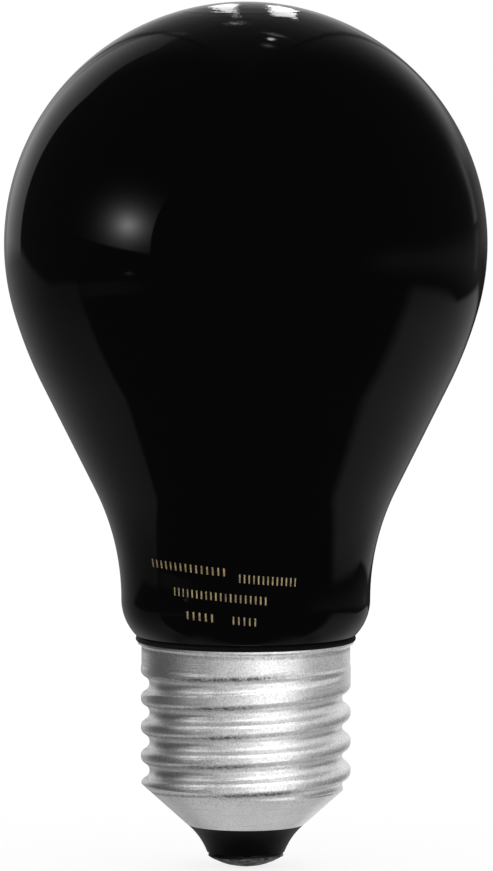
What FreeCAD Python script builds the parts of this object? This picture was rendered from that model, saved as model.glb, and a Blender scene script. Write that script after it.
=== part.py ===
import FreeCAD, Part

import math
import os

import Sketcher
from FreeCAD import Vector

# A pear-shaped lamp with an opaque blown glass bulb and a rolled E27 screw cap.
# Millimetres. +Z points up through the glass, and the origin is the tip of the centre contact, on the axis.

# Driving dimensions, each written once.
DIMENSIONS = [
    # Glass bulb
    ("overall_length", 107.8, "from the tip of the contact to the top of the glass"),
    ("globe_diameter", 60.0, "widest part of the glass"),
    ("globe_end_share", 0.886, "sine of the globe's lean where it ends, over the sine of the whole pear's lean"),
    ("shoulder_ratio", 1.7915, "radius of the gentle curve under the globe, over the waist's"),
    ("waist_share", 0.872, "radius of the waist's hollow curve, over the largest that there is room for"),
    ("waist_overhang", 2.05, "how far the waist, the narrowest glass above the cap, stands out from the rim"),
    ("waist_rise", 5.25, "height of the waist above the rim"),
    ("foot_curve", 6.4, "radius of the turn under the waist"),
    ("cement_gap", 1.65, "width of the cement between the skirt and the tube that the cap hides"),
    ("tube_fillet", 1.6, "radius between the turn and the tube"),
    ("tube_reach", 11.6, "depth of the tube's closed end below the skirt"),
    ("seal_round", 2.6, "radius round the closed end"),
    # Rolled cap
    ("thread_diameter", 26.2, "over the thread's rounds"),
    ("thread_pitch", 3.629, "rise of one turn"),
    ("thread_round", 1.025, "radius of the rounds and of the hollows between them"),
    ("round_land", 0.5, "width of the burnished land along the top of each round"),
    ("thread_drop", 2.28, "depth of the last full hollow below the skirt, on the left"),
    ("thread_turns", 4.5, "turns from the first hollow to the last full one"),
    ("thread_run_out", 0.5, "part of a turn in which the last hollow fades into the skirt"),
    ("sheet_thickness", 0.25, "wall of the rolled sheet"),
    ("skirt_step", 0.1, "how far the plain skirt lies inside the thread's rounds"),
    ("skirt_bottom", 25.2, "height where the plain skirt begins"),
    ("skirt_height", 3.05, "from the skirt's lower edge to the cap's rim"),
    ("rim_flare", 0.45, "how far the rim turns outwards"),
    ("cone_angle", 48.0, "degrees between the cap's cone and the axis"),
    ("cone_foot_radius", 7.3, "outside radius of the cone's lower edge"),
    ("cone_foot_height", 5.3, "height of the cone's lower edge"),
    # Cement
    ("bead_curve", 0.36, "radius of the bead squeezed out above the rim"),
    ("bead_width", 0.1, "how far beyond the rim the bead meets the glass"),
    # Insulator and contact
    ("funnel_curve", 8.5, "radius of the insulator's hollow outside"),
    ("funnel_foot_radius", 4.85, "radius of the insulator's lower end"),
    ("funnel_foot_height", 1.85, "height of the insulator's lower face"),
    ("insulator_depth", 3.4, "how far the insulator reaches up inside the cone"),
    ("insulator_land", 1.2, "width of the flat ring round its top"),
    ("insulator_dish", 0.9, "depth of the dish in its top"),
    ("plate_radius", 4.2, "radius of the contact plate"),
    ("plate_thickness", 0.3, "wall of the contact plate and its eyelet"),
    ("eyelet_radius", 1.25, "outside radius of the plate's eyelet"),
    ("eyelet_height", 1.2, "height of the eyelet above the plate"),
    ("solder_radius", 4.7, "radius of the solder dome"),
    ("solder_side", 0.5, "height of the dome's short upright side"),
]

# Not sizes of the lamp: how far the cutting profiles reach clear of the wall,
# and how much further than its own depth the fading hollow is lifted out.
CUT_CLEARANCE = 0.6
RUN_OUT_LIFT = 1.1

doc = FreeCAD.newDocument("lamp")
sheet = doc.addObject("Spreadsheet::Sheet", "Sizes")
for row, (alias, number, note) in enumerate(DIMENSIONS, start=1):
    sheet.set(f"A{row}", note)
    sheet.set(f"B{row}", str(number))
    sheet.setAlias(f"B{row}", alias)
doc.recompute()


class Size:
    """A length with the formula by which it follows from the sheet."""

    def __init__(self, value, formula):
        self.value = value
        self.formula = formula

    def __add__(self, other):
        other = as_size(other)
        return Size(self.value + other.value, f"({self.formula} + {other.formula})")

    def __sub__(self, other):
        other = as_size(other)
        return Size(self.value - other.value, f"({self.formula} - {other.formula})")

    def __mul__(self, other):
        other = as_size(other)
        return Size(self.value * other.value, f"({self.formula} * {other.formula})")

    def __truediv__(self, other):
        other = as_size(other)
        return Size(self.value / other.value, f"({self.formula} / {other.formula})")

    __radd__ = __add__
    __rmul__ = __mul__


def as_size(number):
    return number if isinstance(number, Size) else Size(float(number), repr(float(number)))


def size(alias):
    return Size(float(sheet.get(alias)), f"Sizes.{alias}")


def root(square):
    return Size(math.sqrt(square.value), f"sqrt({square.formula})")


def sine(degrees):
    return Size(math.sin(math.radians(degrees.value)), f"sin({degrees.formula} * 1 deg)")


def cosine(degrees):
    return Size(math.cos(math.radians(degrees.value)), f"cos({degrees.formula} * 1 deg)")


class Corner:
    """A corner of an outline.

    Its radius and height are a Size where the sheet sets them, and a plain number where tangency does.
    bend is the radius of the arc to the next corner, and left says that this arc turns left.
    smooth says that the links on both sides of the corner are tangent there.
    """

    def __init__(self, radius, height, bend=None, left=True, smooth=False):
        self.radius = radius
        self.height = height
        self.bend = bend
        self.left = left
        self.smooth = smooth

    def vector(self, side):
        return Vector(side * as_size(self.radius).value, as_size(self.height).value, 0)


ORIGIN = (-1, 1)
AXIS = -2
START, END, CENTRE = range(1, 4)


def arc_link(start, end, bend, left):
    """The shorter arc between two points, and which of its ends comes first."""
    chord = end - start
    offset = math.sqrt(bend**2 - (chord.Length / 2) ** 2)
    towards_centre = Vector(-chord.y, chord.x, 0).normalize() * (offset if left else -offset)
    centre = (start + end) / 2 + towards_centre
    first, last = (start, end) if left else (end, start)
    angles = [math.atan2(point.y - centre.y, point.x - centre.x) for point in (first, last)]
    circle = Part.Circle(centre, Vector(0, 0, 1), bend)
    return Part.ArcOfCircle(circle, *angles), (START, END) if left else (END, START)


def bind(sketch, formula, kind, *where):
    """Add a dimension to a sketch and tie it to the sheet."""
    index = sketch.addConstraint(Sketcher.Constraint(kind, *where))
    sketch.setExpression(f"Constraints[{index}]", formula)


def outline(body, name, corners, side=1):
    """Sketch a closed outline in the body's XZ plane, on the +X side or, with side -1, on the -X side."""
    sketch = body.newObject("Sketcher::SketchObject", name)
    planes = [plane for plane in body.Origin.OriginFeatures if plane.Role == "XZ_Plane"]
    sketch.AttachmentSupport = (planes[0], [""])
    sketch.MapMode = "FlatFace"
    ends = []
    for corner, following in zip(corners, corners[1:] + corners[:1]):
        start, end = corner.vector(side), following.vector(side)
        if corner.bend is None:
            link, order = Part.LineSegment(start, end), (START, END)
        else:
            link, order = arc_link(start, end, corner.bend.value, corner.left == (side > 0))
        ends.append((sketch.addGeometry(link, False), order))
    for number, corner in enumerate(corners):
        link, (first, _) = ends[number]
        before, (_, last) = ends[number - 1]
        joint = "Tangent" if corner.smooth else "Coincident"
        sketch.addConstraint(Sketcher.Constraint(joint, before, last, link, first))
        if isinstance(corner.radius, Size):
            pair = (*ORIGIN, link, first) if side > 0 else (link, first, *ORIGIN)
            bind(sketch, corner.radius.formula, "DistanceX", *pair, corner.radius.value)
        elif corner.radius == 0:
            sketch.addConstraint(Sketcher.Constraint("PointOnObject", link, first, AXIS))
        if isinstance(corner.height, Size):
            bind(sketch, corner.height.formula, "DistanceY", *ORIGIN, link, first, corner.height.value)
        if corner.bend is not None:
            bind(sketch, corner.bend.formula, "Radius", link, corner.bend.value)
    return sketch


def turned(body, name, sketch):
    """Turn a sketch once round the axis."""
    feature = body.newObject("PartDesign::Revolution", name)
    feature.Profile = sketch
    feature.ReferenceAxis = (sketch, ["V_Axis"])
    feature.Angle = 360


def helical_cut(body, name, sketch, turns, downwards=False, growth=None):
    """Cut a profile along a right-handed helix at the thread's pitch; growth widens each turn of the helix."""
    feature = body.newObject("PartDesign::SubtractiveHelix", name)
    feature.Profile = sketch
    feature.ReferenceAxis = (sketch, ["V_Axis"])
    feature.LeftHanded = False
    feature.Reversed = downwards
    feature.HasBeenEdited = True
    feature.Mode = "pitch-turns-angle" if growth is None else "height-turns-growth"
    feature.setExpression("Turns", turns.formula)
    if growth is None:
        feature.setExpression("Pitch", thread_pitch.formula)
    else:
        feature.setExpression("Height", (turns * thread_pitch).formula)
        feature.setExpression("Growth", growth.formula)


def new_body(label):
    body = doc.addObject("PartDesign::Body", label)
    body.Label = label
    return body


# Values that more than one piece needs.
globe_radius = size("globe_diameter") / 2
thread_pitch = size("thread_pitch")
thread_round = size("thread_round")
skirt_bottom = size("skirt_bottom")
thread_height = skirt_bottom - size("thread_drop")
sheet_thickness = size("sheet_thickness")
half_land = size("round_land") / 2
crest_radius = size("thread_diameter") / 2
# Rounds and hollows are equal arcs that touch halfway between their centres, which sets the thread's depth.
half_pitch = thread_pitch / 2
centre_gap = root(4 * thread_round * thread_round - half_pitch * half_pitch)
thread_depth = 2 * thread_round - centre_gap
round_centre = crest_radius - thread_round
hollow_centre = round_centre + centre_gap
land_radius = round_centre + root(thread_round * thread_round - half_land * half_land)
inner_hollow = thread_round + sheet_thickness
bore_radius = hollow_centre - root(inner_hollow * inner_hollow - half_land * half_land)
skirt_radius = crest_radius - size("skirt_step")
skirt_bore = skirt_radius - sheet_thickness
rim_height = skirt_bottom + size("skirt_height")
rim_flare = size("rim_flare")
rim_radius = skirt_radius + rim_flare
flare_height = rim_height - rim_flare - sheet_thickness
step_height = skirt_bottom + sheet_thickness
cone_foot_radius = size("cone_foot_radius")
cone_foot_height = size("cone_foot_height")
lean_sine = sine(size("cone_angle"))
lean_cosine = cosine(size("cone_angle"))
cone_foot_inside = (
    cone_foot_radius - sheet_thickness * lean_cosine,
    cone_foot_height + sheet_thickness * lean_sine,
)
waist_radius = rim_radius + size("waist_overhang")
waist_height = rim_height + size("waist_rise")
foot_curve = size("foot_curve")
foot_centre = waist_radius - foot_curve
tube_radius = skirt_bore - size("cement_gap")
tube_fillet = size("tube_fillet")
funnel_foot_radius = size("funnel_foot_radius")
funnel_foot_height = size("funnel_foot_height")
plate_thickness = size("plate_thickness")
plate_top = funnel_foot_height + plate_thickness
eyelet_radius = size("eyelet_radius")
eyelet_bore = eyelet_radius - plate_thickness
eyelet_top = plate_top + size("eyelet_height")


def cone_outside(radius):
    """Height at which the outside of the cap's cone has a radius."""
    return cone_foot_height + (radius - cone_foot_radius) * lean_cosine / lean_sine


def cone_inside(radius):
    """The same for the inside, a sheet's thickness away."""
    return cone_outside(radius) + sheet_thickness / lean_sine


def cone_bore(height):
    """Radius of the inside of the cone at a height."""
    rise = height - sheet_thickness / lean_sine - cone_foot_height
    return cone_foot_radius + rise * lean_sine / lean_cosine


def neck_curves(globe_centre):
    """How far the globe's end leans, as a sine and a cosine, and the radii of the shoulder and the waist.

    The shoulder and the waist touch, with no straight cone between them, at the largest waist
    radius x, where opening x^2 + 2 closing x = reach^2. A share of that leaves the cone its length.
    """
    swell = globe_radius - waist_radius
    rise = globe_centre - waist_height
    turn_sine = size("globe_end_share") * swell / root(swell * swell + rise * rise)
    turn_cosine = root(as_size(1) - turn_sine * turn_sine)
    across = globe_radius * turn_cosine - waist_radius
    down = rise - globe_radius * turn_sine
    ratio = size("shoulder_ratio")
    opening = 2 * ratio * (as_size(1) - turn_cosine)
    closing = across * (ratio * turn_cosine + 1) - down * ratio * turn_sine
    largest = (root(closing * closing + opening * (across * across + down * down)) - closing) / opening
    waist = size("waist_share") * largest
    return turn_sine, turn_cosine, ratio * waist, waist


def neck_touches(globe_centre, turn_sine, turn_cosine, shoulder, waist):
    """Where the globe, shoulder, cone and waist touch, as first places for the tangent links."""
    outwards = Vector(turn_cosine.value, -turn_sine.value, 0)
    globe_end = Vector(0, globe_centre.value, 0) + outwards * globe_radius.value
    shoulder, waist = shoulder.value, waist.value
    shoulder_centre = globe_end - outwards * shoulder
    waist_centre = Vector(waist_radius.value + waist, waist_height.value, 0)
    between = waist_centre - shoulder_centre
    lean = math.atan2(between.y, between.x) + math.acos((shoulder + waist) / between.Length)
    across = Vector(math.cos(lean), math.sin(lean), 0)
    return globe_end, shoulder_centre + across * shoulder, waist_centre - across * waist


def foot_joint():
    """Where the turn under the waist meets the fillet into the tube, and the height where the tube begins."""
    reach = foot_curve + tube_fillet
    across = tube_radius + tube_fillet - foot_centre
    fall = root(reach * reach - across * across)
    share = foot_curve / reach
    return foot_centre + across * share, waist_height - fall * share, waist_height - fall


def make_glass():
    """The blown bulb: globe, shoulder, cone, waist and the tube that the cap hides, all tangent."""
    body = new_body("glass_bulb")
    length = size("overall_length")
    globe_centre = length - globe_radius
    turn_sine, turn_cosine, shoulder, waist = neck_curves(globe_centre)
    globe_end, cone_start, cone_end = neck_touches(globe_centre, turn_sine, turn_cosine, shoulder, waist)
    joint_radius, joint_height, tube_top = foot_joint()
    seal_height = skirt_bottom - size("tube_reach")
    seal_round = size("seal_round")
    sketch = outline(body, "glass_outline", [
        Corner(0, length, bend=globe_radius, left=False),
        Corner(globe_end.x, globe_centre - globe_radius * turn_sine, bend=shoulder, left=False, smooth=True),
        Corner(cone_start.x, cone_start.y, smooth=True),
        Corner(cone_end.x, cone_end.y, bend=waist, smooth=True),
        Corner(waist_radius, waist_height, bend=foot_curve, left=False, smooth=True),
        Corner(joint_radius.value, joint_height.value, bend=tube_fillet, smooth=True),
        Corner(tube_radius, tube_top.value, smooth=True),
        Corner(tube_radius, seal_height + seal_round, bend=seal_round, left=False),
        Corner(tube_radius - seal_round, seal_height),
        Corner(0, seal_height),
    ])
    globe_link, waist_link, foot_link = 0, 3, 4
    sketch.addConstraint(Sketcher.Constraint("PointOnObject", globe_link, CENTRE, AXIS))
    sketch.addConstraint(Sketcher.Constraint("Horizontal", waist_link, CENTRE, foot_link, CENTRE))
    turned(body, "glass", sketch)
    return body


def hollow_outline(body):
    """Profile cut from outside: a hollow, half a round on each side of it, and room beyond the wall."""
    to_land = half_pitch - half_land
    to_touch = half_pitch / 2
    touch_radius = crest_radius - thread_depth / 2
    clear_radius = land_radius + CUT_CLEARANCE
    return outline(body, "hollow_outline", [
        Corner(land_radius, thread_height - to_land, bend=thread_round),
        Corner(touch_radius, thread_height - to_touch, bend=thread_round, left=False),
        Corner(touch_radius, thread_height + to_touch, bend=thread_round),
        Corner(land_radius, thread_height + to_land),
        Corner(clear_radius, thread_height + to_land),
        Corner(clear_radius, thread_height - to_land),
    ], side=-1)


def relief_outline(body):
    """Profile cut from inside: the back of a round, a sheet's thickness under it."""
    inner_round = thread_round - sheet_thickness
    to_land = half_pitch - half_land
    to_touch = half_pitch / 2 * inner_round / thread_round
    touch_radius = hollow_centre - centre_gap / 2 * inner_hollow / thread_round
    clear_radius = bore_radius - CUT_CLEARANCE
    return outline(body, "relief_outline", [
        Corner(bore_radius, thread_height - to_land, bend=inner_hollow, left=False),
        Corner(touch_radius, thread_height - to_touch, bend=inner_round),
        Corner(touch_radius, thread_height + to_touch, bend=inner_hollow, left=False),
        Corner(bore_radius, thread_height + to_land),
        Corner(clear_radius, thread_height + to_land),
        Corner(clear_radius, thread_height - to_land),
    ])


def make_shell():
    """The rolled cap: cone, round thread, plain skirt and flared rim in one thin sheet."""
    body = new_body("screw_shell")
    blank = outline(body, "blank_outline", [
        Corner(cone_foot_radius, cone_foot_height),
        Corner(land_radius, cone_outside(land_radius)),
        Corner(land_radius, skirt_bottom + skirt_radius - land_radius),
        Corner(skirt_radius, skirt_bottom),
        Corner(skirt_radius, flare_height, bend=rim_flare, left=False),
        Corner(rim_radius, rim_height - sheet_thickness),
        Corner(rim_radius, rim_height, bend=rim_flare + sheet_thickness),
        Corner(skirt_bore, flare_height),
        Corner(skirt_bore, step_height),
        Corner(bore_radius, step_height - skirt_bore + bore_radius),
        Corner(bore_radius, cone_inside(bore_radius)),
        Corner(*cone_foot_inside),
    ])
    turned(body, "blank", blank)
    hollow = hollow_outline(body)
    run_out = size("thread_run_out")
    helical_cut(body, "hollows", hollow, size("thread_turns"), downwards=True)
    helical_cut(body, "run_out", hollow, run_out, growth=thread_depth * RUN_OUT_LIFT / run_out)
    relief_turns = (thread_height - half_pitch - cone_inside(bore_radius)) / thread_pitch
    helical_cut(body, "relief", relief_outline(body), relief_turns, downwards=True)
    return body


def make_cement():
    """The basing cement between the tube and the skirt, with the bead squeezed out over the rim."""
    body = new_body("cement_ring")
    joint_radius, joint_height, tube_top = foot_joint()
    bead_radius = rim_radius + size("bead_width")
    across = bead_radius - foot_centre
    bead_height = waist_height - root(foot_curve * foot_curve - across * across)
    sketch = outline(body, "cement_outline", [
        Corner(tube_radius, step_height),
        Corner(skirt_bore, step_height),
        Corner(skirt_bore, flare_height, bend=rim_flare + sheet_thickness, left=False),
        Corner(rim_radius, rim_height, bend=size("bead_curve")),
        Corner(bead_radius, bead_height, bend=foot_curve, left=False),
        Corner(joint_radius, joint_height, bend=tube_fillet),
        Corner(tube_radius, tube_top),
    ])
    turned(body, "cement", sketch)
    return body


def make_insulator():
    """The cast insulator: a hollow-sided funnel seated in the cone, with a recess for the plate."""
    body = new_body("base_insulator")
    top_height = cone_foot_height + size("insulator_depth")
    top_radius = cone_bore(top_height)
    plate_radius = size("plate_radius")
    sketch = outline(body, "insulator_outline", [
        Corner(plate_radius, funnel_foot_height),
        Corner(funnel_foot_radius, funnel_foot_height, bend=size("funnel_curve"), left=False),
        Corner(cone_foot_radius, cone_foot_height),
        Corner(*cone_foot_inside),
        Corner(top_radius, top_height),
        Corner(top_radius - size("insulator_land"), top_height),
        Corner(eyelet_radius, top_height - size("insulator_dish")),
        Corner(eyelet_radius, plate_top),
        Corner(plate_radius, plate_top),
    ])
    turned(body, "insulator", sketch)
    return body


def make_plate():
    """The stamped contact plate with its eyelet, which holds the lead of the filament."""
    body = new_body("contact_plate")
    plate_radius = size("plate_radius")
    sketch = outline(body, "plate_outline", [
        Corner(eyelet_bore, funnel_foot_height),
        Corner(plate_radius, funnel_foot_height),
        Corner(plate_radius, plate_top),
        Corner(eyelet_radius, plate_top),
        Corner(eyelet_radius, eyelet_top),
        Corner(eyelet_bore, eyelet_top),
    ])
    turned(body, "plate", sketch)
    return body


def make_solder():
    """The solder dome over the plate, which fills the eyelet and touches the holder's contact."""
    body = new_body("contact_solder")
    solder_radius = size("solder_radius")
    dome_height = funnel_foot_height - size("solder_side")
    dome_curve = (solder_radius * solder_radius + dome_height * dome_height) / (2 * dome_height)
    sketch = outline(body, "solder_outline", [
        Corner(0, as_size(0), bend=dome_curve),
        Corner(solder_radius, dome_height),
        Corner(solder_radius, funnel_foot_height),
        Corner(eyelet_bore, funnel_foot_height),
        Corner(eyelet_bore, eyelet_top),
        Corner(0, eyelet_top),
    ])
    turned(body, "solder", sketch)
    return body


PARTS = [make_glass(), make_cement(), make_shell(), make_insulator(), make_plate(), make_solder()]
doc.recompute()

for item in doc.Objects:
    if {"Invalid", "Error"} & set(item.State):
        raise RuntimeError(f"{item.Name} failed: {item.State}")
    if item.TypeId == "Sketcher::SketchObject" and not item.FullyConstrained:
        raise RuntimeError(f"{item.Name} is not fully constrained")
for part in PARTS:
    if part.Shape.isNull() or not part.Shape.isValid() or len(part.Shape.Solids) != 1:
        raise RuntimeError(f"{part.Label} is not one valid solid")

os.makedirs("parts", exist_ok=True)
for part in PARTS:
    part.Shape.exportStep(f"parts/{part.Label}.step")
    print(part.Label, round(part.Shape.Volume, 2))
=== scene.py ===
import math

import bpy
import numpy as np
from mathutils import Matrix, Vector, noise


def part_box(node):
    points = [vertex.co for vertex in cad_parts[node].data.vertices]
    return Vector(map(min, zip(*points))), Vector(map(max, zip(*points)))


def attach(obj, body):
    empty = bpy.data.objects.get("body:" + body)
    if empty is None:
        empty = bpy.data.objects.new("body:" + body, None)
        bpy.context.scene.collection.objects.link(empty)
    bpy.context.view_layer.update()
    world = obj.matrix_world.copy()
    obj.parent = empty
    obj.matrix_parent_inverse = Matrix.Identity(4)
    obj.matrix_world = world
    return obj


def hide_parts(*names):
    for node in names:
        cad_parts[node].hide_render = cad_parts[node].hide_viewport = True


# A pear-shaped lamp with an opaque black glass bulb and a rolled E27 screw cap, dressed for its picture.
# +Z points up through the glass, the origin is the tip of the centre contact, and the camera looks
# along +Y.
# The frame is in metres. Lengths of the lamp are in millimetres and go through MM, and distances on the
# stage are in metres.

MM = 0.001
BODY = "root"
FULL_TURN = 2 * math.pi

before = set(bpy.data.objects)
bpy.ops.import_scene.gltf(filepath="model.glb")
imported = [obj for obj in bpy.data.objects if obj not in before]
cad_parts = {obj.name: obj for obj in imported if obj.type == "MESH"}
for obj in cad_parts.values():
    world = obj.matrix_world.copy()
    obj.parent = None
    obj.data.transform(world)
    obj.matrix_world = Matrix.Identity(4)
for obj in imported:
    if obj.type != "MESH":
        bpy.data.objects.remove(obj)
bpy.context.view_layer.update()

# Outline of the glass
GLASS_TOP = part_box("glass_bulb")[1].z / MM
GLOBE_RADIUS = 30.0
SHOULDER_TURN = math.radians(16.0)
SHOULDER_CURVE = 55.0
WAIST_CURVE = 30.7
WAIST_RADIUS = 15.5
WAIST_HEIGHT = 33.5
FOOT_CURVE = 6.4
TUBE_RADIUS = 11.1
TUBE_FILLET = 1.6
SEAL_ROUND = 2.6
SEAL_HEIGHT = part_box("glass_bulb")[0].z / MM

# Rolled cap
RIM_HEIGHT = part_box("screw_shell")[1].z / MM
RIM_FLARE = 0.45
SHEET = 0.25
SKIRT_RADIUS = 13.0
SKIRT_BOTTOM = 25.2
CREST_RADIUS = 13.1
PITCH = 3.629
THREAD_ROUND = 1.025
LAND = 0.5
THREAD_HEIGHT = 22.92
THREAD_TURNS = 5
RUN_OUT = 0.5
RUN_OUT_LIFT = 1.1
CONE_FOOT_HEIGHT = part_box("screw_shell")[0].z / MM
CONE_FOOT_RADIUS = 7.3
CONE_LEAN = math.radians(48.0)

# Insulator and contact
FUNNEL_CURVE = 8.5
FUNNEL_FOOT_RADIUS = 4.85
FUNNEL_FOOT_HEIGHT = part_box("base_insulator")[0].z / MM
INSULATOR_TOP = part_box("base_insulator")[1].z / MM
PLATE_RADIUS = 4.2
PLATE_TOP = 2.15
SOLDER_RADIUS = 4.7
SOLDER_SIDE = 0.5


# Node trees

class Field:
    """A number that varies over a surface or a direction, made of shader nodes."""

    def __init__(self, tree, socket):
        self.tree = tree
        self.socket = socket

    def math(self, operation, *others):
        node = self.tree.nodes.new("ShaderNodeMath")
        node.operation = operation
        for place, value in enumerate((self, *others)):
            plug(self.tree, value, node.inputs[place])
        return Field(self.tree, node.outputs[0])

    def __add__(self, other):
        return self.math("ADD", other)

    def __sub__(self, other):
        return self.math("SUBTRACT", other)

    def __mul__(self, other):
        return self.math("MULTIPLY", other)

    def __truediv__(self, other):
        return self.math("DIVIDE", other)

    def flipped(self):
        """One minus the number."""
        return self * -1.0 + 1.0

    def squared(self):
        return self * self

    def decay(self, scale):
        """1 at 0, falling by a factor of e for each scale."""
        return (self / -scale).math("EXPONENT")

    def bell(self, centre, width):
        """1 at the centre, with a bell's fall on both sides."""
        return ((self - centre) / width).squared().decay(1.0)

    def step(self, low, high):
        """0 below low, 1 above high, with a smooth rise between."""
        node = self.tree.nodes.new("ShaderNodeMapRange")
        node.interpolation_type = "SMOOTHSTEP"
        plug(self.tree, self, node.inputs["Value"])
        plug(self.tree, low, node.inputs["From Min"])
        plug(self.tree, high, node.inputs["From Max"])
        return Field(self.tree, node.outputs[0])

    def band(self, low, high, soft):
        """1 between low and high, with edges that are soft over that width."""
        return self.step(low - soft, low + soft) * self.step(high - soft, high + soft).flipped()


def plug(tree, value, socket):
    """Feed a socket with a field, another socket or a plain number."""
    if isinstance(value, Field):
        tree.links.new(value.socket, socket)
    elif isinstance(value, bpy.types.NodeSocket):
        tree.links.new(value, socket)
    else:
        socket.default_value = value


def split(tree, vector):
    """The three parts of a vector, as fields."""
    node = tree.nodes.new("ShaderNodeSeparateXYZ")
    tree.links.new(vector, node.inputs[0])
    return [Field(tree, output) for output in node.outputs]


def joined(tree, x, y, z):
    """A vector made of three fields or numbers."""
    node = tree.nodes.new("ShaderNodeCombineXYZ")
    for value, socket in zip((x, y, z), node.inputs):
        plug(tree, value, socket)
    return node.outputs[0]


def cloud(tree, vector, grain, detail=2.0, roughness=0.5):
    """Noise between 0 and 1 with grains about that many millimetres across."""
    node = tree.nodes.new("ShaderNodeTexNoise")
    node.inputs["Scale"].default_value = 1.0 / (grain * MM)
    node.inputs["Detail"].default_value = detail
    node.inputs["Roughness"].default_value = roughness
    tree.links.new(vector, node.inputs["Vector"])
    return Field(tree, node.outputs["Fac"])


def attribute_of(tree, name):
    """The node that reads a mesh attribute."""
    node = tree.nodes.new("ShaderNodeAttribute")
    node.attribute_name = name
    return node


def blend_colours(tree, amount, first, second):
    """A colour between the first, at an amount of 0, and the second, at 1."""
    node = tree.nodes.new("ShaderNodeMix")
    node.data_type = "RGBA"
    plug(tree, amount, node.inputs["Factor"])
    for name, colour in (("A", first), ("B", second)):
        socket = [s for s in node.inputs if s.name == name and s.type == "RGBA"][0]
        plug(tree, colour, socket)
    return [s for s in node.outputs if s.type == "RGBA"][0]


def bumped(tree, shader, height, depth):
    """Bend the shader's normals by a height field whose full range is that many millimetres."""
    node = tree.nodes.new("ShaderNodeBump")
    node.inputs["Strength"].default_value = 1.0
    node.inputs["Distance"].default_value = depth * MM
    plug(tree, height, node.inputs["Height"])
    tree.links.new(node.outputs[0], shader.inputs["Normal"])


def new_material(name):
    """A new material with its node tree, its shader and the place on the piece as a vector."""
    material = bpy.data.materials.new(name)
    material.use_nodes = True
    tree = material.node_tree
    shader = tree.nodes["Principled BSDF"]
    place = tree.nodes.new("ShaderNodeTexCoord").outputs["Object"]
    return material, tree, shader, place


def rgb(red, green, blue):
    return (red, green, blue, 1.0)


def grey(value):
    return rgb(value, value, value)


# Materials

def black_glass_material():
    """Opaque black blown glass: very smooth, with the faint waves of a mould and a wavier crown."""
    crown_depth = 6.0
    ring_radius = 7.8
    ring_width = 0.25
    wave_depth = 0.05
    material, tree, shader, place = new_material("black_glass")
    shader.inputs["Base Color"].default_value = rgb(0.0012, 0.0012, 0.0015)
    shader.inputs["IOR"].default_value = 1.5
    smudge = cloud(tree, place, grain=9.0, detail=5.0, roughness=0.7)
    plug(tree, smudge.step(0.5, 0.9) * 0.04 + 0.012, shader.inputs["Roughness"])
    x, y, z = split(tree, place)
    crown = z.step((GLASS_TOP - crown_depth) * MM, GLASS_TOP * MM)
    slow = cloud(tree, place, grain=22.0, detail=1.0)
    wavy = cloud(tree, place, grain=2.0, detail=3.0) * crown
    from_axis = (x * x + y * y).math("SQRT")
    mould_ring = from_axis.bell(ring_radius * MM, ring_width * MM) * crown
    bumped(tree, shader, slow * 0.6 + wavy * 0.9 + mould_ring * 0.25, wave_depth)
    return material


def aluminium_material():
    """Satin rolled sheet: fine grit, streaks that run round the cap, dark scuffs, and painted shade under
    the rounds, under the rim and on the right side.
    """
    drift = 0.04
    stretch = 0.1
    relief = 0.03
    material, tree, shader, place = new_material("rolled_aluminium")
    x, y, z = split(tree, place)
    roll_x, roll_y, _ = split(tree, attribute_of(tree, "roll").outputs["Vector"])
    along = joined(tree, roll_x + x * drift, roll_y + y * drift, z * stretch)
    grit = cloud(tree, place, grain=0.24, detail=2.0)
    streak = cloud(tree, along, grain=0.22, detail=3.0, roughness=0.65)
    patch = cloud(tree, place, grain=3.0, detail=4.0, roughness=0.65)
    # The scuff attribute holds real scuffs and painted shade; both darken the colour here
    scuffed_and_shaded = Field(tree, attribute_of(tree, "scuff_and_shade").outputs["Fac"])
    speckle = cloud(tree, place, grain=0.4, detail=4.0, roughness=0.65).step(0.38, 0.58)
    dark = scuffed_and_shaded * (speckle * 0.55 + 0.45)
    above_cone = z.step(8.0 * MM, 9.5 * MM)
    bright = blend_colours(tree, patch.step(0.35, 0.75) * 0.5, grey(0.94), grey(0.78))
    gritty = blend_colours(tree, grit.step(0.35, 0.7) * (above_cone * 0.25 + 0.25), bright, grey(0.42))
    streaked = blend_colours(tree, streak.step(0.55, 0.75) * 0.3, gritty, grey(0.4))
    colour = blend_colours(tree, dark, streaked, grey(0.05))
    plug(tree, colour, shader.inputs["Base Color"])
    shader.inputs["Metallic"].default_value = 1.0
    plug(tree, patch * 0.12 + grit * 0.1 + dark * 0.3 + 0.26, shader.inputs["Roughness"])
    bumped(tree, shader, grit * 0.8 + streak * 0.9 + dark * 0.6, relief)
    return material


def cement_material():
    """Set black cement, uneven and slightly shiny."""
    relief = 0.05
    material, tree, shader, place = new_material("basing_cement")
    tint = cloud(tree, place, grain=1.2, detail=4.0)
    colour = blend_colours(tree, tint, grey(0.004), rgb(0.012, 0.011, 0.011))
    plug(tree, colour, shader.inputs["Base Color"])
    plug(tree, tint * 0.25 + 0.42, shader.inputs["Roughness"])
    shader.inputs["Specular IOR Level"].default_value = 0.25
    bumped(tree, shader, cloud(tree, place, grain=0.5, detail=4.0), relief)
    return material


def insulator_material():
    """Cast black glass with a soft orange-peel skin."""
    relief = 0.03
    material, tree, shader, place = new_material("insulator_glass")
    shader.inputs["Base Color"].default_value = rgb(0.0025, 0.0025, 0.003)
    skin = cloud(tree, place, grain=1.5, detail=2.0)
    plug(tree, skin * 0.15 + 0.24, shader.inputs["Roughness"])
    shader.inputs["Specular IOR Level"].default_value = 0.3
    bumped(tree, shader, skin, relief)
    return material


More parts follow.
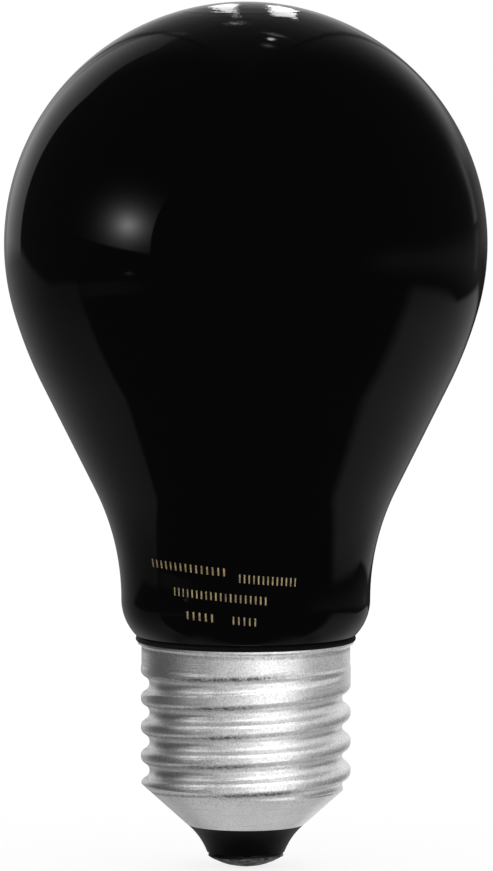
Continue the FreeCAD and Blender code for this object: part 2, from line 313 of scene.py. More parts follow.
def solder_material():
    """Dull solder with a rough, oxidised skin and painted shade on its upper edge under the insulator,
    which dips to the left.
    """
    shade_from = 1.3
    shade_full = 1.5
    slope = 0.035
    relief = 0.08
    material, tree, shader, place = new_material("solder")
    x, _, z = split(tree, place)
    stain = cloud(tree, place, grain=0.9, detail=5.0, roughness=0.7)
    # Painted shade on the solder's upper edge, under the insulator's foot
    shade_under_insulator = (z - x * slope).step(shade_from * MM, shade_full * MM)
    dark = (stain.step(0.3, 0.6) * 0.9).math("MAXIMUM", shade_under_insulator)
    colour = blend_colours(tree, dark, grey(0.22), grey(0.012))
    plug(tree, colour, shader.inputs["Base Color"])
    shader.inputs["Metallic"].default_value = 1.0
    plug(tree, stain * 0.3 + 0.3, shader.inputs["Roughness"])
    bumped(tree, shader, cloud(tree, place, grain=0.45, detail=5.0, roughness=0.7), relief)
    return material


def brass_material():
    """Stamped brass, slightly tarnished."""
    material, tree, shader, place = new_material("contact_brass")
    tarnish = cloud(tree, place, grain=1.0, detail=4.0)
    colour = blend_colours(tree, tarnish, rgb(0.72, 0.52, 0.22), rgb(0.5, 0.34, 0.13))
    plug(tree, colour, shader.inputs["Base Color"])
    shader.inputs["Metallic"].default_value = 1.0
    plug(tree, tarnish * 0.2 + 0.2, shader.inputs["Roughness"])
    return material


def print_material():
    """Faded gold ink, thinner in places."""
    material, tree, shader, place = new_material("gold_ink")
    worn = cloud(tree, place, grain=0.7, detail=4.0, roughness=0.7).step(0.35, 0.7)
    colour = blend_colours(tree, worn, rgb(0.36, 0.27, 0.13), rgb(0.1, 0.075, 0.04))
    plug(tree, colour, shader.inputs["Base Color"])
    plug(tree, worn * 0.2 + 0.4, shader.inputs["Roughness"])
    return material


# Shapes

def arc(centre, radius, start, end, count):
    """Points on an arc, both ends included. Angles are in radians from the +R direction."""
    angles = np.linspace(start, end, count)
    return [(centre[0] + radius * math.cos(a), centre[1] + radius * math.sin(a)) for a in angles]


def line(start, end, count):
    """Points on a line, without its ends."""
    shares = np.linspace(0, 1, count + 2)[1:-1]
    return [(start[0] + (end[0] - start[0]) * s, start[1] + (end[1] - start[1]) * s) for s in shares]


def angle_of(vector):
    """Angle of a flat vector from the +R direction, in radians."""
    return math.atan2(vector[1], vector[0])


def glass_outline():
    """Radius and height of points down the glass, from the top to the closed end in the cap."""
    globe_centre = np.array([0.0, GLASS_TOP - GLOBE_RADIUS])
    outwards = np.array([math.cos(SHOULDER_TURN), -math.sin(SHOULDER_TURN)])
    shoulder_centre = globe_centre + outwards * (GLOBE_RADIUS - SHOULDER_CURVE)
    waist_centre = np.array([WAIST_RADIUS + WAIST_CURVE, WAIST_HEIGHT])
    between = waist_centre - shoulder_centre
    reach = (SHOULDER_CURVE + WAIST_CURVE) / np.linalg.norm(between)
    lean = angle_of(between) + math.acos(reach)
    across = np.array([math.cos(lean), math.sin(lean)])
    cone_start = shoulder_centre + across * SHOULDER_CURVE
    cone_end = waist_centre - across * WAIST_CURVE
    foot_centre = np.array([WAIST_RADIUS - FOOT_CURVE, WAIST_HEIGHT])
    fall = math.sqrt((FOOT_CURVE + TUBE_FILLET) ** 2 - (TUBE_RADIUS + TUBE_FILLET - foot_centre[0]) ** 2)
    fillet_centre = np.array([TUBE_RADIUS + TUBE_FILLET, WAIST_HEIGHT - fall])
    foot_end = angle_of(fillet_centre - foot_centre)
    seal_centre = (TUBE_RADIUS - SEAL_ROUND, SEAL_HEIGHT + SEAL_ROUND)
    quarter = math.pi / 2
    return (
        arc(globe_centre, GLOBE_RADIUS, quarter, -SHOULDER_TURN, count=110)[1:]
        + arc(shoulder_centre, SHOULDER_CURVE, -SHOULDER_TURN, lean, count=24)[1:]
        + line(cone_start, cone_end, count=10)
        + arc(waist_centre, WAIST_CURVE, lean + math.pi, math.pi, count=24)
        + arc(foot_centre, FOOT_CURVE, 0, foot_end, count=26)[1:]
        + arc(fillet_centre, TUBE_FILLET, foot_end + math.pi, math.pi, count=8)[1:]
        + arc(seal_centre, SEAL_ROUND, 0, -quarter, count=10)
    )


def mesh_of_rings(name, rings, top=None, bottom=None, sharp=60):
    """A closed mesh of rings of points, in millimetres.

    The ends close on a point each, or where none is given the last ring joins the first.
    """
    rings = np.asarray(rings, float)
    count, segments = rings.shape[:2]
    points = rings.reshape(-1, 3)
    faces = []
    columns = np.arange(segments)
    following = np.roll(columns, -1)
    joins = count if top is None else count - 1
    for row in range(joins):
        upper = row * segments
        lower = ((row + 1) % count) * segments
        corners = [upper + columns, lower + columns, lower + following, upper + following]
        faces += np.stack(corners, 1).tolist()
    if top is not None:
        points = np.vstack([points, [top, bottom]])
        last = (count - 1) * segments
        top_index, bottom_index = len(points) - 2, len(points) - 1
        faces += [[top_index, int(a), int(b)] for a, b in zip(columns, following)]
        faces += [[bottom_index, last + int(b), last + int(a)] for a, b in zip(columns, following)]
    mesh = bpy.data.meshes.new(name)
    mesh.from_pydata((points * MM).tolist(), [], faces)
    mesh.shade_smooth()
    mesh.set_sharp_from_angle(angle=math.radians(sharp))
    mesh.update()
    piece = bpy.data.objects.new(name, mesh)
    bpy.context.scene.collection.objects.link(piece)
    return piece


def ring_angles(segments):
    """Even angles about the lamp's axis, from +X towards +Y."""
    return np.arange(segments) * FULL_TURN / segments


def turned_rings(outline, segments):
    """One ring of points for each radius and height of an outline."""
    angles = ring_angles(segments)
    return [np.stack([r * np.cos(angles), r * np.sin(angles), np.full(segments, z)], 1) for r, z in outline]


def dressed(piece, material, node=None):
    """Give a piece its material and slot, let it ride and, where it stands for a CAD node, replace that."""
    piece.data.materials.append(material)
    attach(piece, BODY)
    if node:
        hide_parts(node)
    return piece


def make_glass():
    """The blown bulb, closed at its lower end inside the cap."""
    segments = 256
    outline = glass_outline()
    rings = turned_rings(outline, segments)
    top = (0, 0, GLASS_TOP)
    bottom = (0, 0, outline[-1][1])
    glass = mesh_of_rings("blown_glass", rings, top, bottom)
    return dressed(glass, black_glass_material(), "glass_bulb")


# The shell and its thread

HOLLOW_RADIUS = CREST_RADIUS - 2 * THREAD_ROUND + math.sqrt(4 * THREAD_ROUND**2 - PITCH**2 / 4)
THREAD_DEPTH = CREST_RADIUS - HOLLOW_RADIUS
LAND_RADIUS = CREST_RADIUS - THREAD_ROUND + math.sqrt(THREAD_ROUND**2 - LAND**2 / 4)

# A radius outside the whole lamp, for places that a hollow doesn't reach
NO_CUT = 99.0

# Radius and height of the inner edge of the cone's foot
INNER_FOOT = (
    CONE_FOOT_RADIUS - SHEET * math.cos(CONE_LEAN),
    CONE_FOOT_HEIGHT + SHEET * math.sin(CONE_LEAN),
)


def cone_height(radius):
    """Height at which the outside of the cap's cone has a radius."""
    return CONE_FOOT_HEIGHT + (radius - CONE_FOOT_RADIUS) / math.tan(CONE_LEAN)


def blank_radius(height):
    """Outside radius of the cap before its thread is rolled."""
    land_top = SKIRT_BOTTOM + SKIRT_RADIUS - LAND_RADIUS
    heights = [CONE_FOOT_HEIGHT, cone_height(LAND_RADIUS), land_top, SKIRT_BOTTOM]
    radii = [CONE_FOOT_RADIUS, LAND_RADIUS, LAND_RADIUS, SKIRT_RADIUS]
    return np.interp(height, heights, radii)


def hollow_wall(distance):
    """Outside radius of a hollow's wall at a height above or below the hollow's middle."""
    away = np.abs(distance)
    centre_in = HOLLOW_RADIUS + THREAD_ROUND
    centre_out = CREST_RADIUS - THREAD_ROUND
    in_hollow = centre_in - np.sqrt(np.maximum(THREAD_ROUND**2 - away**2, 0))
    on_round = centre_out + np.sqrt(np.maximum(THREAD_ROUND**2 - (PITCH / 2 - away) ** 2, 0))
    wall = np.where(away < PITCH / 4, in_hollow, on_round)
    return np.where(away > PITCH / 2 - LAND / 2, NO_CUT, wall)


def outer_radius(turn, height):
    """Outside radius of the cap. Turn runs from 0 at the left, past the camera, to 1."""
    radius = blank_radius(height)
    for number in range(1, THREAD_TURNS + 1):
        middle = THREAD_HEIGHT + PITCH * (turn - number)
        radius = np.minimum(radius, hollow_wall(height - middle))
    lift = RUN_OUT_LIFT * THREAD_DEPTH * turn / RUN_OUT
    fading = hollow_wall(height - THREAD_HEIGHT - PITCH * turn) + lift
    return np.where(turn <= RUN_OUT, np.minimum(radius, fading), radius)


def round_distance(turn, height):
    """How far a place lies above the middle of the nearest round of the thread, in millimetres."""
    above = height - THREAD_HEIGHT - PITCH * (turn - 0.5)
    return (above + PITCH / 2) % PITCH - PITCH / 2


def rolled_place(turn, height):
    """Places on a circle as long as one pitch, so that marks drawn there follow the thread."""
    around = FULL_TURN * (height - THREAD_HEIGHT - PITCH * turn) / PITCH
    radius = PITCH / FULL_TURN * MM
    return np.stack([radius * np.cos(around), radius * np.sin(around), np.zeros_like(around)], 1)


def turn_at(angle):
    """Share of a turn, from the left and past the camera, of an angle about the axis."""
    return (angle - math.pi) / FULL_TURN % 1.0


# Where the rolls left scuffs under the rounds: height of the round at the front, share of a turn and
# half width.
SCUFFS = [
    (24.3, 0.22, 0.09),
    (20.9, 0.215, 0.055),
    (17.1, 0.215, 0.035),
    (13.4, 0.205, 0.06),
    (9.9, 0.265, 0.07),
    (20.5, 0.62, 0.06),
    (16.8, 0.7, 0.05),
    (13.2, 0.56, 0.07),
    (17.6, 0.9, 0.04),
]

# How far below the middle of a round they lie, their half height and how deep they go
SCUFF_DROP = 0.78
SCUFF_WIDTH = 0.3
SCUFF_DEPTH = 0.07

# The thin line under every round, partly scuffs and partly painted shade under the round, darkest at one
# place of the turn
LINE_WIDTH = 0.16
LINE_STRENGTH = 0.75
LINE_LEAST = 0.35
LINE_TURN = 0.17
LINE_SPREAD = 0.16
THREAD_FOOT = 8.6

# Painted shade: a dark line under the rim's lip
RIM_SHADE = 0.55
RIM_SHADE_HEIGHT = 27.45
RIM_SHADE_WIDTH = 0.22

# Wear on the rounds at the cap's right side, darkened further there by painted shade
WEAR_AND_SHADE = 0.38
WEAR_AND_SHADE_TURN = 0.4
WEAR_AND_SHADE_SPREAD = 0.07
WEAR_AND_SHADE_DROP = 0.15
WEAR_AND_SHADE_WIDTH = 0.45


def bell(value, centre, width):
    """1 at the centre, with a bell's fall on both sides."""
    return np.exp(-(((value - centre) / width) ** 2))


def flat_bell(value, centre, width):
    """A bell with a flatter top and steeper sides."""
    return np.exp(-(((value - centre) / width) ** 4))


def scuff_and_shade_at(turn, height):
    """How scuffed and shaded a place is, from 0 to 1: lines of scuffs and painted shade under the rounds, a
    line of painted shade under the rim, scuffs, and worn rounds with painted shade at the right side.
    """
    middle = round_distance(turn, height)
    on_thread = (height < SKIRT_BOTTOM) & (height > THREAD_FOOT)
    # A thin line under every round: scuffs with painted shade under the round, darkest at one place of the
    # turn
    share = LINE_LEAST + (1 - LINE_LEAST) * bell(turn, LINE_TURN, LINE_SPREAD)
    under_round = LINE_STRENGTH * share * on_thread * bell(middle, -SCUFF_DROP, LINE_WIDTH)
    # Painted shade in a line under the rim's lip
    under_rim = RIM_SHADE * bell(height, RIM_SHADE_HEIGHT, RIM_SHADE_WIDTH)
    # Wear on the rounds at the right side, darkened further by painted shade
    worn = WEAR_AND_SHADE * on_thread * flat_bell(turn, WEAR_AND_SHADE_TURN, WEAR_AND_SHADE_SPREAD) * bell(middle, -WEAR_AND_SHADE_DROP, WEAR_AND_SHADE_WIDTH)
    spots = np.zeros_like(middle)
    for scuff_height, scuff_turn, half_width in SCUFFS:
        level = np.abs(height - scuff_height) < PITCH / 2
        spots = np.maximum(spots, flat_bell(turn, scuff_turn, half_width) * level)
    spots = spots * bell(middle, -SCUFF_DROP, SCUFF_WIDTH)
    return np.maximum.reduce([under_round, under_rim, worn, spots])


def cap_heights():
    """Heights of the rings down the outside of the cap, close together over the thread."""
    skirt_rings = 6
    cone_rings = 12
    thread_pace = 0.135
    above_thread = 0.9
    below_thread = 0.6
    thread_top = SKIRT_BOTTOM + above_thread
    cone_top = cone_height(HOLLOW_RADIUS) - below_thread
    skirt = np.linspace(RIM_HEIGHT - RIM_FLARE - SHEET, thread_top, skirt_rings, endpoint=False)
    thread = np.arange(thread_top, cone_top, -thread_pace)
    cone = np.linspace(cone_top, CONE_FOOT_HEIGHT, cone_rings)
    return np.concatenate([skirt, thread, cone])


def scuff_roughness(angles, height):
    """Unevenness of the metal round the cap at one height, 0 or more."""
    across, up, layer = 40, 4, 7.0
    return np.abs([noise.noise(Vector((angle * across, height * up, layer))) for angle in angles])


def make_shell():
    """The rolled shell, with its scuffs and painted shade and the direction of rolling kept as attributes
    of its points.
    """
    segments = 360
    skirt_drop = 0.8
    angles = ring_angles(segments)
    turn = turn_at(angles)
    flare_centre = (SKIRT_RADIUS + RIM_FLARE, RIM_HEIGHT - RIM_FLARE - SHEET)
    quarter = math.pi / 2
    rim = arc(flare_centre, RIM_FLARE + SHEET, math.pi, quarter, count=8)
    rim += arc(flare_centre, RIM_FLARE, quarter, math.pi, count=7)[:-1]
    rings = turned_rings(rim, segments)
    scuff_and_shade_rows = [np.zeros(segments)] * len(rings)
    rolls = [rolled_place(turn, RIM_HEIGHT)] * len(rings)
    for height in cap_heights():
        heights = np.full(segments, height)
        scuff_and_shade = scuff_and_shade_at(turn, heights)
        radius = outer_radius(turn, heights) - scuff_and_shade * scuff_roughness(angles, height) * SCUFF_DEPTH
        rings.append(np.stack([radius * np.cos(angles), radius * np.sin(angles), heights], 1))
        scuff_and_shade_rows.append(scuff_and_shade)
        rolls.append(rolled_place(turn, height))
    inner_hollow = HOLLOW_RADIUS - SHEET
    inner = [
        INNER_FOOT,
        (inner_hollow, cone_height(inner_hollow) + SHEET / math.sin(CONE_LEAN)),
        (inner_hollow, SKIRT_BOTTOM - skirt_drop),
        (SKIRT_RADIUS - SHEET, SKIRT_BOTTOM + SHEET),
    ]
    rings += turned_rings(inner, segments)
    scuff_and_shade_rows += [np.zeros(segments)] * len(inner)
    rolls += [rolled_place(turn, CONE_FOOT_HEIGHT)] * len(inner)
    shell = mesh_of_rings("rolled_shell", rings, sharp=50)
    attribute = shell.data.attributes.new("scuff_and_shade", "FLOAT", "POINT")
    attribute.data.foreach_set("value", np.concatenate(scuff_and_shade_rows).astype(np.float32))
    attribute = shell.data.attributes.new("roll", "FLOAT_VECTOR", "POINT")
    attribute.data.foreach_set("vector", np.concatenate(rolls).astype(np.float32).ravel())
    return dressed(shell, aluminium_material(), "screw_shell")


def ring_noise(angle, frequency, layer):
    """Noise round a ring, between about -1 and 1."""
    return noise.noise(Vector((math.cos(angle) * frequency, math.sin(angle) * frequency, layer)))


def make_bead():
    """The uneven bead of cement squeezed out between the rim and the glass."""
    segments = 240
    sides = 14
    middle_radius = 13.2
    half_width = 0.36
    half_height = 0.34
    lift = 0.32
    uneven_height = 0.14
    lump_height = 0.05
    lump_width = 0.03
    rings = []
    for share in np.arange(sides) / sides:
        around = share * FULL_TURN
        ring = []
        for angle in ring_angles(segments):
            uneven = ring_noise(angle, frequency=1.6, layer=3.0)
            lumpy = ring_noise(angle, frequency=9.0, layer=5.0)
            radius = middle_radius + (half_width + lump_width * lumpy) * math.cos(around)
            tall = half_height + uneven_height * uneven + lump_height * lumpy
            height = RIM_HEIGHT + lift + tall * math.sin(around)
            ring.append((radius * math.cos(angle), radius * math.sin(angle), height))
        rings.append(ring)
    bead = mesh_of_rings("cement_bead", rings[::-1])
    return dressed(bead, CEMENT)


def make_insulator():
    """The cast funnel in the cone's foot, with a concave flank and a recess for the contact."""
    segments = 160
    foot = np.array([FUNNEL_FOOT_RADIUS, FUNNEL_FOOT_HEIGHT])
    edge = np.array([CONE_FOOT_RADIUS, CONE_FOOT_HEIGHT])
    chord = edge - foot
    length = np.linalg.norm(chord)
    across = np.array([chord[1], -chord[0]]) / length
    centre = (foot + edge) / 2 + across * math.sqrt(FUNNEL_CURVE**2 - length**2 / 4)
    start, end = angle_of(edge - centre), angle_of(foot - centre)
    if end < start:
        end += FULL_TURN
    inside = (INSULATOR_TOP - CONE_FOOT_HEIGHT - SHEET / math.sin(CONE_LEAN)) * math.tan(CONE_LEAN)
    outline = [(CONE_FOOT_RADIUS + inside, INSULATOR_TOP), INNER_FOOT]
    outline += arc(centre, FUNNEL_CURVE, start, end, count=24)
    outline += [(PLATE_RADIUS, FUNNEL_FOOT_HEIGHT), (PLATE_RADIUS, PLATE_TOP)]
    rings = turned_rings(outline, segments)
    insulator = mesh_of_rings("cast_insulator", rings, (0, 0, INSULATOR_TOP), (0, 0, PLATE_TOP), sharp=40)
    return dressed(insulator, insulator_material(), "base_insulator")


def solder_lump(place):
    """How far the solder stands out at a place: coarse lumps with finer ones on them."""
    coarse, coarse_share = 0.9, 0.5
    fine, fine_share = 2.6, 0.25
    return noise.noise(place * coarse) * coarse_share + noise.noise(place * fine) * fine_share


def make_solder():
    """The solder dome, lumpy and with a ragged upper edge."""
    segments = 120
    dome_rings = 26
    tip_radius = 0.25
    hidden_rings = [1.0, SOLDER_RADIUS * 0.985]
    lump_height = 0.35
    lump_reach = 0.03
    deepest_dent = -0.1
    dome_height = FUNNEL_FOOT_HEIGHT - SOLDER_SIDE
    curve = (SOLDER_RADIUS**2 + dome_height**2) / (2 * dome_height)
    rings = []
    for radius in hidden_rings + list(np.linspace(SOLDER_RADIUS, tip_radius, dome_rings)):
        ring = []
        on_top = len(rings) < len(hidden_rings)
        edge = radius / SOLDER_RADIUS
        for angle in ring_angles(segments):
            place = Vector((math.cos(angle) * radius, math.sin(angle) * radius, 0.0))
            lump = solder_lump(place)
            raised = max(lump, deepest_dent) * lump_height * edge
            height = curve - math.sqrt(curve**2 - radius**2) + raised
            if on_top:
                height = FUNNEL_FOOT_HEIGHT
            reach = radius * (1 + lump * lump_reach * edge)
            ring.append((reach * math.cos(angle), reach * math.sin(angle), min(height, FUNNEL_FOOT_HEIGHT)))
        rings.append(ring)
    solder = mesh_of_rings("solder_dome", rings, (0, 0, FUNNEL_FOOT_HEIGHT), (0, 0, 0), sharp=80)
    return dressed(solder, SOLDER, "contact_solder")


# Plain printed marks: rows of bars, each row with its height, its two ends in degrees from the front,
# the number of bars, their height and the share of each step that a bar fills. They stand for no letters.
PRINT_ROWS = [
    (38.15, -46.0, -7.5, 15, 1.0, 0.3),
    (37.55, -3.0, 24.5, 13, 1.05, 0.3),
    (35.0, -34.5, 11.0, 20, 1.0, 0.3),
    (32.25, -28.0, -13.0, 5, 1.0, 0.28),
    (32.25, -6.0, 6.5, 5, 1.0, 0.28),
]

# How far the rows fall from the front to the right side, and how far a bar stands out of the glass
PRINT_TILT = 1.35
PRINT_LIFT = 0.012


def glass_radius_at(outline, height):
    """Outside radius of the glass at a height."""
    heights = [z for _, z in outline][::-1]
    radii = [r for r, _ in outline][::-1]
    return float(np.interp(height, heights, radii))


def bar_points(outline, height, start, width, tall, rises, steps):
    """Points of one printed bar: an outer grid and an inner one, which both follow the glass."""
    points = []
    for lift in (PRINT_LIFT, -PRINT_LIFT):
        for rise in np.linspace(-tall / 2, tall / 2, rises):
            for angle in np.linspace(start, start + width, steps):
                level = height + rise - PRINT_TILT * math.sin(angle)
                radius = glass_radius_at(outline, level) + lift
                points.append((radius * math.sin(angle), -radius * math.cos(angle), level))
    return points


def bar_faces(first, rises, steps):
    """Faces of one printed bar, whose two grids are joined round their border into a closed slab."""
    layer = steps * rises
    grid = [[first + row * steps + column for column in range(steps)] for row in range(rises)]
    faces = []
    for lower, upper in zip(grid, grid[1:]):
        for column in range(steps - 1):
            quad = [lower[column], lower[column + 1], upper[column + 1], upper[column]]
            faces.append(quad)
            faces.append([corner + layer for corner in reversed(quad)])
    border = grid[0] + [row[-1] for row in grid[1:]]
    border += grid[-1][-2::-1] + [row[0] for row in grid[-2:0:-1]]
    for here, there in zip(border, border[1:] + border[:1]):
        faces.append([here, here + layer, there + layer, there])
    return faces


def make_print():
    """Bars of gold ink, each a thin closed slab."""
    outline = [(r, z) for r, z in glass_outline() if z > RIM_HEIGHT]
    rises = 4
    steps = 5
    points, faces = [], []
    for height, start, end, count, tall, filled in PRINT_ROWS:
        pace = (end - start) / count
        for number in range(count):
            low = math.radians(start + pace * number)
            faces += bar_faces(len(points), rises, steps)
            points += bar_points(outline, height, low, math.radians(pace * filled), tall, rises, steps)
    mesh = bpy.data.meshes.new("printed_bars")
    mesh.from_pydata([tuple(value * MM for value in point) for point in points], [], faces)
    mesh.update()
    piece = bpy.data.objects.new("printed_bars", mesh)
    bpy.context.scene.collection.objects.link(piece)
    return dressed(piece, print_material())


# Stage, light and camera

def is_ray(tree, kind):
    """1 for rays of a kind and 0 for all others."""
    node = tree.nodes.new("ShaderNodeLightPath")
    return Field(tree, node.outputs[kind])


# The surroundings that polished glass mirrors. Azimuth is in degrees from straight behind the lamp, to
# the right, and elevation in degrees above the level. Every brightness is a radiance, with white at 1.
ROOM_BRIGHTNESS = 0.02

# Small bright points: azimuth, half width, elevation, half height and brightness.
POINTS = [
    (-3.0, 2.0, 46.0, 1.4, 1.1),
    (13.0, 1.6, 60.2, 0.9, 5.0),
    (12.0, 4.0, 55.5, 0.8, 0.6),
    (15.0, 3.5, 66.0, 1.2, 0.5),
    (-122.5, 2.0, -10.3, 0.7, 0.2),
]


def backdrop_light(azimuth, elevation):
    """The lit backdrop behind the lamp, which fades upwards and is dimmer low down."""
    half_width = 33.0
    fade_height = 18.0
    brightness = 0.85
    across = (azimuth / half_width).squared().squared().decay(1.0)
    upwards = elevation.math("MAXIMUM", 0.0).decay(fade_height)
    left_end = azimuth.step(-44.8, -43.2)
    low_right = azimuth.band(5.0, 60.0, 2.0) * elevation.step(4.0, 12.0).flipped()
    low = elevation.step(-3.0, 10.0) * 0.65 + 0.35
    return upwards * across * brightness * low * (low_right * -0.7 + 1.0) * left_end


def wing_light(azimuth, elevation):
    """A dimmer wing at the backdrop's left, with a slanting top that ends level."""
    soft = 1.5
    brightness = 0.24
    slope = 1.2
    highest = 47.0
    top = (azimuth * slope + 84.5).math("MINIMUM", highest)
    below_top = elevation.step(top - soft, top + soft).flipped()
    fade = elevation.step(20.0, 48.0) * -0.65 + 1.0
    return azimuth.band(-44.0, -18.0, 0.8) * below_top * fade * brightness


def between_seams(azimuth, elevation):
    """1, but less on two dark seams that lean outwards."""
    half_width = 1.1
    darkness = 0.68
    left_lean, left_foot = 0.27, -8.6
    right_lean, right_foot = 0.33, 7.1
    left = (azimuth + elevation * left_lean).bell(left_foot, half_width)
    right = (azimuth - elevation * right_lean).bell(right_foot, half_width)
    return (left + right) * -darkness + 1.0


def near_side(azimuth, elevation, bend, slope, drop, level, soft):
    """1 below a floor's far edge, which is level up to a bend in azimuth and falls by a drop past it."""
    edge = ((azimuth - bend) * slope).math("MINIMUM", 0.0).math("MAXIMUM", -drop) + level
    return elevation.step(edge - soft, edge + soft).flipped()


def floor_light(azimuth, elevation):
    """The pale floor at both sides, brighter near the backdrop and darker straight below."""
    depression = elevation * -1.0
    left = azimuth.band(-90.0, 5.0, 2.0) * (depression.step(14.0, 40.0) * 0.055 + 0.042)
    left_glow = azimuth.bell(-20.0, 28.0) * azimuth.step(-15.0, 5.0).flipped() * 0.15
    left_side = near_side(azimuth, elevation, bend=-46.0, slope=0.35, drop=8.5, level=-4.2, soft=1.7)
    right = azimuth.band(15.0, 91.0, 6.0) * (depression.step(16.0, 26.0) * 0.04 + 0.11)
    right_glow = azimuth.bell(20.0, 28.0) * azimuth.step(-5.0, 15.0) * 0.13
    blur = azimuth.step(50.0, 65.0) * 1.6 + 0.9
    right_side = near_side(azimuth, elevation, bend=27.0, slope=-0.26, drop=6.3, level=-8.3, soft=blur)
    shaded = depression.step(42.0, 60.0) * -0.7 + 1.0
    lit = ((left + left_glow) * left_side + (right + right_glow) * right_side) * shaded
    front_band = azimuth.band(-125.0, -92.0, 12.0) * elevation.band(-18.5, -13.5, 0.8) * 0.03
    right_haze = azimuth.band(25.0, 115.0, 12.0) * elevation.bell(-5.5, 4.0) * 0.045
    below = depression.step(52.0, 62.0) * azimuth.band(-110.0, 110.0, 20.0) * 0.06
    return lit + front_band + right_haze + below


def front_lamp_light(azimuth, elevation):
    """A soft lamp at the front left, wider than it is high and cut off at its front and lower edges."""
    squash = 1.5
    core = 4.0
    fade = 4.5
    brightness = 3.5
    middle_azimuth = -121.5
    middle_elevation = 9.5
    front_azimuth = -134.0
    across = azimuth - middle_azimuth
    above = (elevation - middle_elevation) * squash
    distance = (across.squared() + above.squared() + core**2).math("SQRT") - core
    front_edge = elevation.squared() * -0.01 + front_azimuth
    lower_edge = (azimuth - front_azimuth) * 0.11 - 1.9
    window = azimuth.step(front_edge - 0.5, front_edge + 0.5)
    window = window * elevation.step(lower_edge - 0.6, lower_edge + 0.6)
    return distance.decay(fade) * brightness * window


def high_lamps_light(x, y, z, azimuth, elevation):
    """Two narrow lamps high at the back, with a dim tail over the left one."""
    brightness = 3.2
    lean = x / z.math("MAXIMUM", 0.05)
    left = lean.band(elevation * 0.0065 - 0.285, -0.05, 0.02) * elevation.band(12.5, 31.0, 1.5) * 0.75
    right = lean.band(0.12, 0.25, 0.015) * elevation.band(14.0, 33.0, 1.5)
    behind = y.step(0.0, 0.1)
    tail = azimuth.bell(-2.1, 0.6) * elevation.band(31.0, 39.0, 1.5) * 0.8
    return (left + right) * behind * brightness + tail


def strip_light(azimuth, elevation):
    """A thin upright strip at the right, with a dimmer one below it."""
    ends = elevation.step(-0.3, 0.3) * elevation.step(6.0, 16.0).flipped()
    upper = azimuth.bell(35.5, 3.0) * ends * 0.14
    lower = azimuth.bell(36.0, 2.5) * elevation.band(-7.0, -1.0, 0.6) * 0.045
    return upper + lower


def studio_radiance(tree):
    """What polished glass mirrors: a dark room with a lit backdrop, a pale floor and a few lamps."""
    direction = tree.nodes.new("ShaderNodeTexCoord").outputs["Generated"]
    x, y, z = split(tree, direction)
    azimuth = x.math("ARCTAN2", y) * math.degrees(1)
    elevation = z.math("ARCSINE") * math.degrees(1)
    above_floor = elevation.step(-6.0, -2.5)
    behind = backdrop_light(azimuth, elevation) + wing_light(azimuth, elevation)
    light = behind * between_seams(azimuth, elevation) * above_floor + ROOM_BRIGHTNESS
    light = light + floor_light(azimuth, elevation)
    light = light + front_lamp_light(azimuth, elevation)
    light = light + high_lamps_light(x, y, z, azimuth, elevation)
    light = light + strip_light(azimuth, elevation)
    for point_azimuth, half_width, point_elevation, half_height, brightness in POINTS:
        spot = azimuth.bell(point_azimuth, half_width) * elevation.bell(point_elevation, half_height)
        light = light + spot * brightness
    return light


def light_world():
    """White where the camera looks, the studio where a surface mirrors, and even soft light elsewhere."""
    ambient = 0.9
    world = bpy.data.worlds.new("studio")
    world.use_nodes = True
    bpy.context.scene.world = world
    tree = world.node_tree
    background = tree.nodes["Background"]
    mirrored = studio_radiance(tree)
    camera_ray = is_ray(tree, "Is Camera Ray")
    glossy_ray = is_ray(tree, "Is Glossy Ray")
    strength = glossy_ray * mirrored + glossy_ray.flipped() * ambient
    strength = camera_ray + camera_ray.flipped() * strength
    background.inputs["Color"].default_value = grey(1.0)
    plug(tree, strength, background.inputs["Strength"])


def make_floor():
    """A pale floor that shows almost white to the camera and keeps a faint shadow."""
    reach = 1.5
    paleness = 0.22
    glow_strength = 0.82
    mesh = bpy.data.meshes.new("floor")
    corners = [(-reach, -reach, 0), (reach, -reach, 0), (reach, reach, 0), (-reach, reach, 0)]
    mesh.from_pydata(corners, [], [(0, 1, 2, 3)])
    floor = bpy.data.objects.new("floor", mesh)
    bpy.context.scene.collection.objects.link(floor)
    floor.visible_glossy = False
    floor.visible_shadow = False
    material = bpy.data.materials.new("floor")
    material.use_nodes = True
    tree = material.node_tree
    tree.nodes.remove(tree.nodes["Principled BSDF"])
    diffuse = tree.nodes.new("ShaderNodeBsdfDiffuse")
    diffuse.inputs["Color"].default_value = grey(paleness)
    glow = tree.nodes.new("ShaderNodeEmission")
    plug(tree, is_ray(tree, "Is Camera Ray") * glow_strength, glow.inputs["Strength"])
    added = tree.nodes.new("ShaderNodeAddShader")
    tree.links.new(diffuse.outputs[0], added.inputs[0])
    tree.links.new(glow.outputs[0], added.inputs[1])
    tree.links.new(added.outputs[0], tree.nodes["Material Output"].inputs["Surface"])
    mesh.materials.append(material)


# Lamps around the cap: bearing in degrees from the camera's side to the right, elevation in degrees,
# distance, width and height in metres, and radiance.
LAMPS = {
    "key_right": (37, 6, 0.5, 0.62, 1.1, 0.7),
    "front": (8, 8, 0.6, 1.2, 1.2, 0.53),
    "high": (24, 63, 0.5, 0.5, 0.35, 1.9),
    "high_left": (-75, 48, 0.5, 0.3, 0.3, 1.1),
    "right": (104, 22, 0.5, 0.7, 0.55, 0.6),
    "back_right": (160, 8, 0.5, 0.4, 0.9, 0.6),
    "back_left": (-152, 8, 0.5, 0.3, 0.9, 0.22),
    "bounce": (8, -74, 0.5, 1.5, 1.3, 0.4),
}


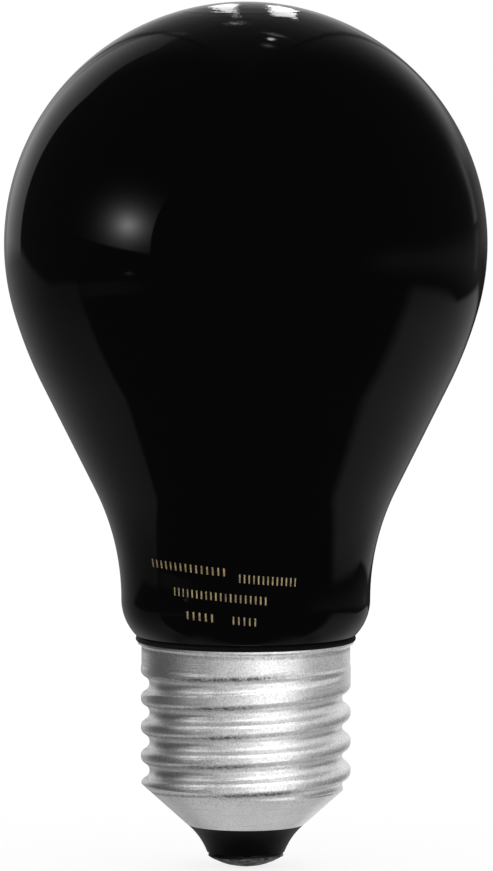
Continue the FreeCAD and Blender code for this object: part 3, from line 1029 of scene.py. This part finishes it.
def make_lamp(name, bearing, elevation, distance, width, height, radiance, receivers):
    """A soft rectangular lamp that faces the cap."""
    cap_middle = 18.0
    turn, lift = math.radians(bearing), math.radians(elevation)
    target = Vector((0, 0, cap_middle * MM))
    towards = Vector((math.sin(turn) * math.cos(lift), -math.cos(turn) * math.cos(lift), math.sin(lift)))
    data = bpy.data.lights.new(name, "AREA")
    data.shape = "RECTANGLE"
    data.size = width
    data.size_y = height
    data.energy = radiance * math.pi * width * height
    lamp = bpy.data.objects.new(name, data)
    lamp.location = target + towards * distance
    lamp.rotation_euler = towards.to_track_quat("Z", "Y").to_euler()
    lamp.light_linking.receiver_collection = receivers
    lamp.visible_camera = False
    bpy.context.scene.collection.objects.link(lamp)


def light_cap(pieces):
    """Soft lamps that light only the given pieces, as if flagged off the black glass."""
    receivers = bpy.data.collections.new("lit_by_lamps")
    for piece in pieces:
        receivers.objects.link(piece)
    for name, values in LAMPS.items():
        make_lamp(name, *values, receivers)


def place_camera():
    """A long lens, five degrees above the level, framed as the photograph is."""
    image_height = 871
    image_width = 493
    pixels_per_mm = 8.045
    tip_row = 867.4
    axis_column = 245.8
    pitch = math.radians(5.0)
    distance = 1.2
    aim_height = (tip_row - image_height / 2) / pixels_per_mm / math.cos(pitch)
    aim = Vector(((image_width / 2 - axis_column) / pixels_per_mm, 0, aim_height)) * MM
    data = bpy.data.cameras.new("camera")
    data.sensor_fit = "VERTICAL"
    data.sensor_height = 36.0
    data.lens = data.sensor_height * distance / (image_height / pixels_per_mm * MM)
    camera = bpy.data.objects.new("camera", data)
    away = Vector((0, -math.cos(pitch), math.sin(pitch)))
    camera.location = aim + away * distance
    camera.rotation_euler = away.to_track_quat("Z", "Y").to_euler()
    bpy.context.scene.collection.objects.link(camera)
    bpy.context.scene.camera = camera


def dress_node(name, material):
    """Give a node of the CAD model that stays in view its material."""
    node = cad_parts[name]
    node.data.materials.clear()
    node.data.materials.append(material)


CEMENT = cement_material()
SOLDER = solder_material()

place_camera()
make_floor()
make_glass()
shell = make_shell()
make_bead()
make_insulator()
solder = make_solder()
print_marks = make_print()

dress_node("cement_ring", CEMENT)
dress_node("contact_plate", brass_material())
light_world()
light_cap([shell, solder, print_marks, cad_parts["contact_plate"]])

bpy.context.scene.view_settings.view_transform = "Standard"
